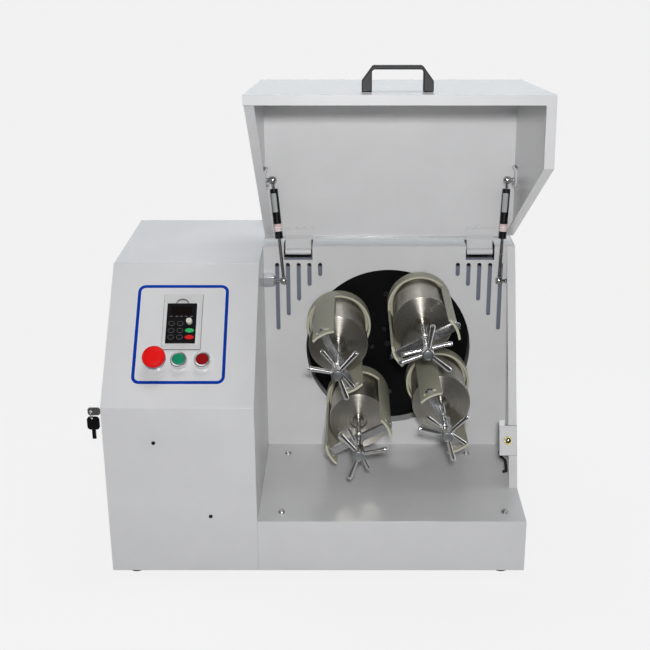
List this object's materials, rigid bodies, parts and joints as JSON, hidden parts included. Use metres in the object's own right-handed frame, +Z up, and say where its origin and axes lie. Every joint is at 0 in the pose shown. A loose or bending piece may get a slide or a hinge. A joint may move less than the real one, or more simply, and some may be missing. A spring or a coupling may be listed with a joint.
{
  "type": "horizontal planetary ball mill",
  "caption": "Bench-top horizontal planetary ball mill with a lift-up lid, a geared rotor carrying clamped grinding jars and a sloping control face.",
  "frame": {"origin": "on the bench, under the middle of the 750 by 500 mm footprint of the housing", "axes": "+X to the machine's right seen from the front, +Y from the front to the back, +Z up"},
  "size_m": [0.7835, 0.5593, 0.9153],
  "materials": {
    "shell_paint": "powder coated",
    "disk_paint": "satin black",
    "holder_paint": "satin olive beige",
    "steel": "turned",
    "chrome": "polished",
    "black_steel": "gloss black",
    "black_plastic": "matte",
    "red_plastic": "gloss",
    "green_plastic": "gloss",
    "brass": "polished",
    "rubber": "matte",
    "motor_paint": "satin",
    "iron": "machined",
    "zinc": "zinc plated"
  },
  "bodies": {
    "housing": {"cabinet_shell": "shell_paint", "base_tray": "shell_paint", "bottom_plate": "shell_paint", "feet": "rubber", "chamber_panel": "shell_paint", "right_wall": "shell_paint", "rear_cover": "shell_paint", "housing_screws": "zinc", "door_hinge_pins": "zinc", "hinge_brackets": "black_steel", "strut_wall_studs": "chrome", "sun_gear": "steel", "bearing_housing": "iron", "drive_belt": "rubber", "drive_motor": "motor_paint", "switch_collars": "chrome", "keypad": "black_plastic", "interlock_box": "zinc"},
    "door": {"side_door": "shell_paint"},
    "lock": {"lock_barrel": "zinc", "lock_key": "zinc"},
    "spare": {"spare_key": "black_plastic"},
    "lid": {"lid_shell": "shell_paint", "lid_handle": "black_plastic", "strut_lid_studs": "chrome"},
    "left_rod": {"left_strut_rod": "chrome"},
    "left_cylinder": {"left_strut_cylinder": "black_steel"},
    "right_rod": {"right_strut_rod": "chrome"},
    "right_cylinder": {"right_strut_cylinder": "black_steel"},
    "rotor": {"carrier_disk": "disk_paint", "main_shaft": "steel", "disk_bolts": "zinc", "planet_bearings": "steel", "main_pulley": "iron"},
    "motor_shaft": {"motor_pulley": "iron"},
    "upper_right_planet": {"upper_right_jar_holder": "holder_paint", "upper_right_grinding_jar": "steel", "upper_right_clamp_bar": "chrome"},
    "upper_right_wheel": {"upper_right_handwheel": "chrome"},
    "upper_right_nut": {"upper_right_lock_bar": "chrome"},
    "upper_left_planet": {"upper_left_jar_holder": "holder_paint", "upper_left_grinding_jar": "steel", "upper_left_clamp_bar": "chrome"},
    "upper_left_wheel": {"upper_left_handwheel": "chrome"},
    "upper_left_nut": {"upper_left_lock_bar": "chrome"},
    "lower_left_planet": {"lower_left_jar_holder": "holder_paint", "lower_left_grinding_jar": "steel", "lower_left_clamp_bar": "chrome"},
    "lower_left_wheel": {"lower_left_handwheel": "chrome"},
    "lower_left_nut": {"lower_left_lock_bar": "chrome"},
    "lower_right_planet": {"lower_right_jar_holder": "holder_paint", "lower_right_grinding_jar": "steel", "lower_right_clamp_bar": "chrome"},
    "lower_right_wheel": {"lower_right_handwheel": "chrome"},
    "lower_right_nut": {"lower_right_lock_bar": "chrome"},
    "knob": {"speed_knob": "black_plastic"},
    "estop": {"estop_head": "red_plastic"},
    "start": {"start_button": "green_plastic"},
    "stop": {"stop_button": "red_plastic"},
    "plunger": {"interlock_plunger": "brass"}
  },
  "joints": [
    {"name": "door_swing", "type": "hinge", "parent": "housing", "child": "door", "pos_m": [-0.368, 0.236, 0.3], "axis": [0, 0, 1], "range_deg": [-100, 0]},
    {"name": "lock_turn", "type": "hinge", "parent": "door", "child": "lock", "pos_m": [-0.375, -0.212, 0.311], "axis": [-1, 0, 0], "range_deg": [0, 90]},
    {"name": "spare_key_swing", "type": "hinge", "parent": "lock", "child": "spare", "pos_m": [-0.4, -0.212, 0.3051], "axis": [-1, 0, 0], "range_deg": [-90, 0]},
    {"name": "lid_hinge", "type": "hinge", "parent": "housing", "child": "lid", "pos_m": [0.133, 0.078, 0.518], "axis": [1, 0, 0], "range_deg": [0, 95]},
    {"name": "left_strut_turn", "type": "hinge", "parent": "housing", "child": "left_rod", "pos_m": [-0.07, 0.0505, 0.468], "axis": [1, 0, 0], "range_deg": [0, 79.87]},
    {"name": "left_strut_slide", "type": "slide", "parent": "left_rod", "child": "left_cylinder", "axis": [-0.0978, 0.1544, 0.9832], "range_m": [-0.07307, 0]},
    {"name": "right_strut_turn", "type": "hinge", "parent": "housing", "child": "right_rod", "pos_m": [0.345, 0.0505, 0.468], "axis": [1, 0, 0], "range_deg": [0, 79.87]},
    {"name": "right_strut_slide", "type": "slide", "parent": "right_rod", "child": "right_cylinder", "axis": [0.0568, 0.1549, 0.9863], "range_m": [-0.07344, 0]},
    {"name": "rotor_spin", "type": "hinge", "parent": "housing", "child": "rotor", "pos_m": [0.133, 0, 0.323], "axis": [0, -1, 0], "continuous": true},
    {"name": "motor_spin", "type": "hinge", "parent": "housing", "child": "motor_shaft", "pos_m": [-0.237, 0.2, 0.128], "axis": [0, -1, 0], "continuous": true},
    {"name": "upper_right_planet_spin", "type": "hinge", "parent": "rotor", "child": "upper_right_planet", "pos_m": [0.1924, 0, 0.4203], "axis": [0, -1, 0], "continuous": true},
    {"name": "upper_right_wheel_turn", "type": "hinge", "parent": "upper_right_planet", "child": "upper_right_wheel", "pos_m": [0.1924, -0.2, 0.4203], "axis": [0, -1, 0], "range_deg": [0, 720]},
    {"name": "upper_right_nut_turn", "type": "hinge", "parent": "upper_right_planet", "child": "upper_right_nut", "pos_m": [0.1924, -0.19, 0.4203], "axis": [0, -1, 0], "range_deg": [0, 180]},
    {"name": "upper_left_planet_spin", "type": "hinge", "parent": "rotor", "child": "upper_left_planet", "pos_m": [0.03569, 0, 0.38239], "axis": [0, -1, 0], "continuous": true},
    {"name": "upper_left_wheel_turn", "type": "hinge", "parent": "upper_left_planet", "child": "upper_left_wheel", "pos_m": [0.03569, -0.2, 0.38239], "axis": [0, -1, 0], "range_deg": [0, 720]},
    {"name": "upper_left_nut_turn", "type": "hinge", "parent": "upper_left_planet", "child": "upper_left_nut", "pos_m": [0.03569, -0.19, 0.38239], "axis": [0, -1, 0], "range_deg": [0, 180]},
    {"name": "lower_left_planet_spin", "type": "hinge", "parent": "rotor", "child": "lower_left_planet", "pos_m": [0.07361, 0, 0.2257], "axis": [0, -1, 0], "continuous": true},
    {"name": "lower_left_wheel_turn", "type": "hinge", "parent": "lower_left_planet", "child": "lower_left_wheel", "pos_m": [0.07361, -0.2, 0.2257], "axis": [0, -1, 0], "range_deg": [0, 720]},
    {"name": "lower_left_nut_turn", "type": "hinge", "parent": "lower_left_planet", "child": "lower_left_nut", "pos_m": [0.07361, -0.19, 0.2257], "axis": [0, -1, 0], "range_deg": [0, 180]},
    {"name": "lower_right_planet_spin", "type": "hinge", "parent": "rotor", "child": "lower_right_planet", "pos_m": [0.23031, 0, 0.2636], "axis": [0, -1, 0], "continuous": true},
    {"name": "lower_right_wheel_turn", "type": "hinge", "parent": "lower_right_planet", "child": "lower_right_wheel", "pos_m": [0.23031, -0.2, 0.2636], "axis": [0, -1, 0], "range_deg": [0, 720]},
    {"name": "lower_right_nut_turn", "type": "hinge", "parent": "lower_right_planet", "child": "lower_right_nut", "pos_m": [0.23031, -0.19, 0.2636], "axis": [0, -1, 0], "range_deg": [0, 180]},
    {"name": "speed_turn", "type": "hinge", "parent": "housing", "child": "knob", "pos_m": [-0.2285, -0.13594, 0.44806], "axis": [0, -0.7071, 0.7071], "range_deg": [-150, 150]},
    {"name": "estop_press", "type": "slide", "parent": "housing", "child": "estop", "axis": [0, 0.7071, -0.7071], "range_m": [0, 0.004]},
    {"name": "start_press", "type": "slide", "parent": "housing", "child": "start", "axis": [0, 0.7071, -0.7071], "range_m": [0, 0.0023], "stiffness_N_per_m": 600, "springref_m": -0.001},
    {"name": "stop_press", "type": "slide", "parent": "housing", "child": "stop", "axis": [0, 0.7071, -0.7071], "range_m": [0, 0.0023], "stiffness_N_per_m": 600, "springref_m": -0.001},
    {"name": "plunger_press", "type": "slide", "parent": "housing", "child": "plunger", "axis": [0, 0.9149, -0.4036], "range_m": [0, 0.0014], "stiffness_N_per_m": 300, "springref_m": -0.001}
  ],
  "couplings": [
    {"joint": "left_strut_turn", "follows": "lid_hinge", "ratio": 0.83549},
    {"joint": "left_strut_slide", "follows": "lid_hinge", "m_per_rad": -0.043829},
    {"joint": "right_strut_turn", "follows": "lid_hinge", "ratio": 0.83549},
    {"joint": "right_strut_slide", "follows": "lid_hinge", "m_per_rad": -0.044053},
    {"joint": "motor_spin", "follows": "rotor_spin", "ratio": 2.8387},
    {"joint": "upper_right_planet_spin", "follows": "rotor_spin", "ratio": 2},
    {"joint": "upper_left_planet_spin", "follows": "rotor_spin", "ratio": 2},
    {"joint": "lower_left_planet_spin", "follows": "rotor_spin", "ratio": 2},
    {"joint": "lower_right_planet_spin", "follows": "rotor_spin", "ratio": 2}
  ]
}
